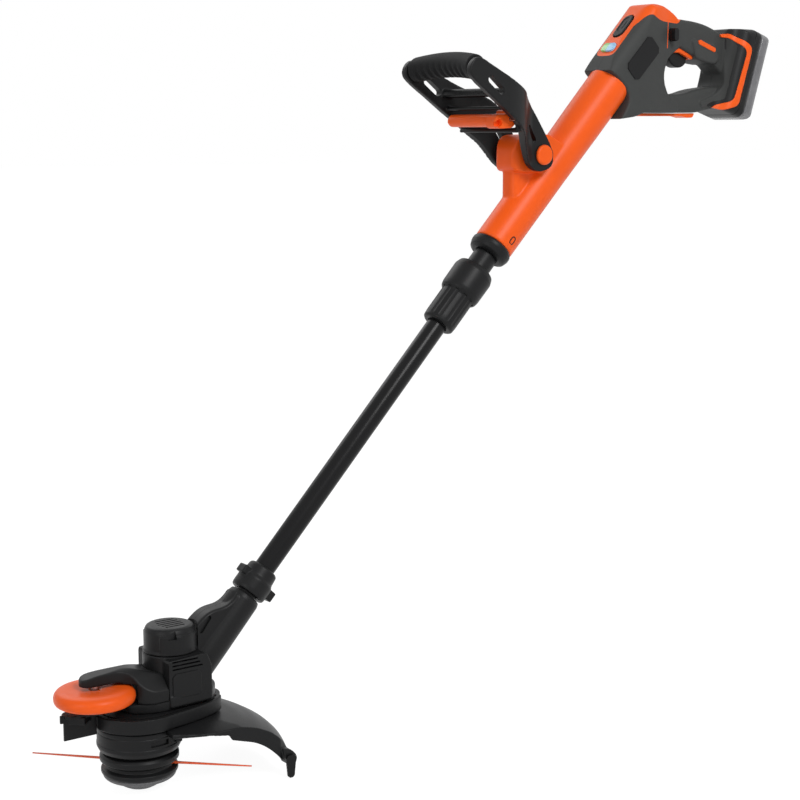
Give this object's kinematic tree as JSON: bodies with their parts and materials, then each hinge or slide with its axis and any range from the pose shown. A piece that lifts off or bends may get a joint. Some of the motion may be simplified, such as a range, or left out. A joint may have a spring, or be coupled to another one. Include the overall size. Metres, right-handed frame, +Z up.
{
  "type": "string trimmer",
  "caption": "Cordless string trimmer with a telescoping shaft, a turning head with guard and edging wheel, a tilting assist handle and a slide-on battery.",
  "frame": {"origin": "centre of the bump cap's flat foot, on the spool's axis", "axes": "+Z up along the spool's axis, +X towards the battery in the tool's middle plane, -Y on the tool's left-hand side with the line cutter's post"},
  "size_m": [1.0542, 0.1827, 0.884],
  "materials": {
    "orange_plastic": "satin orange moulding",
    "orange_nylon": "drawn orange nylon line",
    "black_plastic": "satin black moulding",
    "grey_plastic": "fine-grained charcoal moulding",
    "grip_rubber": "matt black overmould",
    "black_tube": "semi-gloss black coating",
    "smoked_plastic": "clear smoked moulding",
    "lamp_plastic": "tinted clear lens",
    "board": "green circuit board",
    "steel": "bright steel",
    "brass": "plain brass",
    "rotor_iron": "laminated iron"
  },
  "bodies": {
    "housing": {"upper_tube": "orange_plastic", "tube_bezel": "black_plastic", "clamp_sleeve": "black_plastic", "rear_housing_left": "grey_plastic", "rear_housing_right": "grey_plastic", "top_cover": "orange_plastic", "bottom_trim": "orange_plastic", "trigger_trim": "orange_plastic", "grip_inlay_left": "orange_plastic", "grip_inlay_right": "orange_plastic", "lamp_window": "lamp_plastic", "rear_badge": "black_plastic", "battery_dock": "black_plastic", "dock_stripe_left": "orange_plastic", "dock_stripe_right": "orange_plastic", "switch_body": "black_plastic", "control_board": "board", "terminal_block": "brass"},
    "lower_shaft": {"lower_tube": "black_tube"},
    "collar_body": {"swivel_collar": "black_plastic"},
    "head_body": {"head_casing_left": "black_plastic", "head_casing_right": "black_plastic", "motor_cap": "black_plastic", "motor_can": "steel", "head_badge": "black_plastic", "wheel_arm": "black_plastic", "wheel_axle": "steel", "wheel_fin": "black_plastic", "mount_plate": "black_plastic", "spool_drum": "black_plastic", "guard": "black_plastic", "cutter_blade": "black_tube"},
    "spool_body": {"bump_cap": "grey_plastic", "spool": "black_plastic", "line_winding": "orange_nylon", "line_tail_left": "orange_nylon", "line_tail_right": "orange_nylon", "spindle": "steel", "spool_gear": "brass"},
    "rotor_body": {"motor_rotor": "rotor_iron", "motor_pinion": "steel"},
    "wheel_body": {"edge_wheel": "orange_plastic"},
    "clamp_body": {"clamp_nut": "black_plastic"},
    "handle_body": {"handle_frame": "black_plastic", "handle_grip": "grip_rubber", "pivot_bolt": "steel", "pivot_cap_left": "orange_plastic", "pivot_cap_right": "orange_plastic", "lever_pin": "steel"},
    "lever_body": {"handle_lever": "orange_plastic"},
    "trigger_body": {"trigger": "black_plastic"},
    "lock_body": {"lock_button": "black_plastic"},
    "power_body": {"power_button": "black_plastic"},
    "battery_body": {"pack_shell": "black_plastic", "pack_end": "smoked_plastic", "pack_cells": "grey_plastic"},
    "pack_button_body": {"pack_button": "black_plastic"}
  },
  "joints": [
    {"name": "telescope", "type": "slide", "parent": "housing", "child": "lower_shaft", "axis": [0.6852, 0, 0.7284], "range_m": [0, 0.12]},
    {"name": "clamp_turn", "type": "hinge", "parent": "housing", "child": "clamp_body", "pos_m": [0.44602, 0, 0.52246], "axis": [0.6852, 0, 0.7284], "range_deg": [0, 90]},
    {"name": "collar_slide", "type": "slide", "parent": "lower_shaft", "child": "collar_body", "axis": [0.6852, 0, 0.7284], "range_m": [0, 0.006], "stiffness_N_per_m": 400, "springref_m": -0.006},
    {"name": "head_turn", "type": "hinge", "parent": "lower_shaft", "child": "head_body", "pos_m": [0.12399, 0, 0.18013], "axis": [0.6852, 0, 0.7284], "range_deg": [0, 180]},
    {"name": "spool_spin", "type": "hinge", "parent": "head_body", "child": "spool_body", "pos_m": [0, 0, 0.05], "axis": [0, 0, 1], "continuous": true},
    {"name": "rotor_spin", "type": "hinge", "parent": "head_body", "child": "rotor_body", "pos_m": [0.04125, 0, 0.12], "axis": [0, 0, 1], "continuous": true},
    {"name": "wheel_spin", "type": "hinge", "parent": "head_body", "child": "wheel_body", "pos_m": [-0.0525, 0, 0.115], "axis": [0, 0, 1], "continuous": true},
    {"name": "handle_tilt", "type": "hinge", "parent": "housing", "child": "handle_body", "pos_m": [0.553, 0, 0.694], "axis": [0, 1, 0], "range_deg": [-35, 40]},
    {"name": "lever_press", "type": "hinge", "parent": "handle_body", "child": "lever_body", "pos_m": [0.487, 0, 0.737], "axis": [0, 1, 0], "range_deg": [-12, 0], "stiffness_Nm_per_rad": 0.4, "springref_deg": 8.59},
    {"name": "trigger_pull", "type": "hinge", "parent": "housing", "child": "trigger_body", "pos_m": [0.792, 0, 0.83], "axis": [0, -1, 0], "range_deg": [0, 6], "stiffness_Nm_per_rad": 0.4, "springref_deg": -8.59},
    {"name": "lock_push", "type": "slide", "parent": "housing", "child": "lock_body", "axis": [0, 1, 0], "range_m": [-0.004, 0.004], "stiffness_N_per_m": 500},
    {"name": "power_press", "type": "slide", "parent": "housing", "child": "power_body", "axis": [0.7254, 0, -0.6884], "range_m": [0, 0.002], "stiffness_N_per_m": 600, "springref_m": -0.002},
    {"name": "battery_slide", "type": "slide", "parent": "housing", "child": "battery_body", "axis": [0.299, 0, 0.9542], "range_m": [0, 0.1]},
    {"name": "pack_release", "type": "slide", "parent": "battery_body", "child": "pack_button_body", "axis": [-0.299, 0, -0.9542], "range_m": [0, 0.0012], "stiffness_N_per_m": 600, "springref_m": -0.002}
  ],
  "couplings": [
    {"joint": "rotor_spin", "follows": "spool_spin", "ratio": -4}
  ]
}
